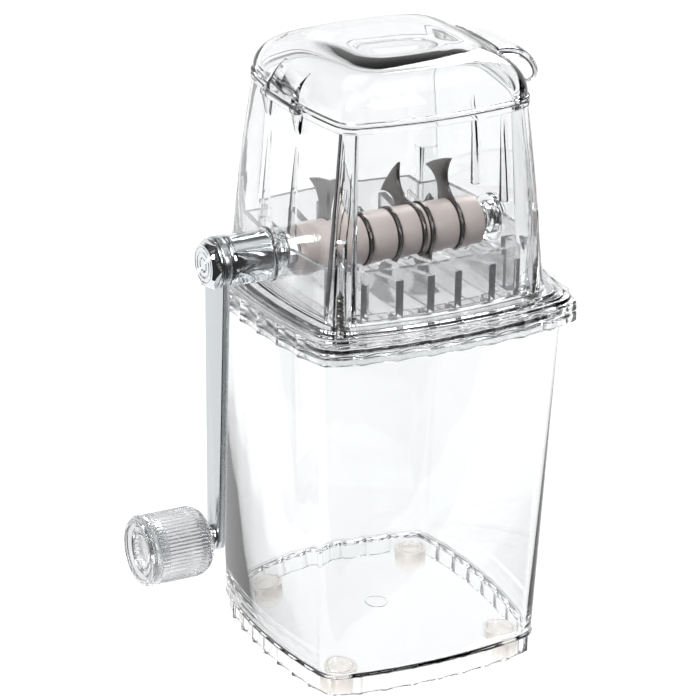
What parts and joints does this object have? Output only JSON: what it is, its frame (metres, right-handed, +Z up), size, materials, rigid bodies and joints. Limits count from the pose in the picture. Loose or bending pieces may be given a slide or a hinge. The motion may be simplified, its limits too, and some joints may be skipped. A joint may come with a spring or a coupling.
{
  "type": "hand-cranked ice crusher",
  "caption": "Hand-cranked ice crusher: clear square container, clear head with hinged domed lid, shaft of steel picks between plastic spacers, chromed crank and clear knob.",
  "frame": {"origin": "middle of the object's box at the level of the surface it stands on; the container's vertical axis is at x = 21.55 mm, y = 0", "axes": "+Z up; X along the crank shaft, with the crank and knob at -X and the lid's finger tab at +X; the lid's hinge is at the -X side of the hopper"},
  "size_m": [0.168, 0.125, 0.2512],
  "materials": {
    "clear_plastic": "clear moulded styrene plastic, polished",
    "foot_rubber": "translucent beige, moulded ribs",
    "spacer_plastic": "satin warm grey moulded plastic",
    "pick_steel": "stamped stainless steel, bright edges",
    "shaft_steel": "turned steel, bright",
    "chrome": "bright chrome plate",
    "screw_steel": "plain steel"
  },
  "bodies": {
    "container": {"container": "clear_plastic", "foot_front_left": "foot_rubber", "foot_front_right": "foot_rubber", "foot_rear_right": "foot_rubber", "foot_rear_left": "foot_rubber"},
    "head": {"head_base": "clear_plastic", "hopper": "clear_plastic", "comb": "clear_plastic", "bush_crank_side": "clear_plastic", "bush_far_side": "clear_plastic", "lid_hinge_pin": "shaft_steel", "screw_front_left": "screw_steel", "screw_front_right": "screw_steel", "screw_rear_right": "screw_steel", "screw_rear_left": "screw_steel"},
    "lid": {"lid": "clear_plastic"},
    "crank": {"shaft": "shaft_steel", "pick_1": "pick_steel", "pick_2": "pick_steel", "pick_3": "pick_steel", "pick_4": "pick_steel", "pick_5": "pick_steel", "pick_6": "pick_steel", "spacer_1": "spacer_plastic", "spacer_2": "spacer_plastic", "spacer_3": "spacer_plastic", "spacer_4": "spacer_plastic", "spacer_5": "spacer_plastic", "spacer_6": "spacer_plastic", "spacer_7": "spacer_plastic", "shaft_clip": "shaft_steel", "crank_sleeve": "chrome", "crank_arm": "chrome", "crank_washer": "chrome", "crank_nut": "chrome", "knob_spindle": "shaft_steel"},
    "knob": {"knob": "clear_plastic", "knob_end_cap": "clear_plastic"}
  },
  "joints": [
    {"name": "head_lift", "type": "slide", "parent": "container", "child": "head", "axis": [0, 0, 1], "range_m": [0, 0.12]},
    {"name": "lid_open", "type": "hinge", "parent": "head", "child": "lid", "pos_m": [-0.02385, 0, 0.23245], "axis": [0, -1, 0], "range_deg": [0, 90]},
    {"name": "crank_turn", "type": "hinge", "parent": "head", "child": "crank", "pos_m": [-0.05045, 0, 0.1721], "axis": [1, 0, 0], "continuous": true},
    {"name": "knob_spin", "type": "hinge", "parent": "crank", "child": "knob", "pos_m": [-0.06845, 0, 0.0584], "axis": [1, 0, 0], "continuous": true}
  ]
}
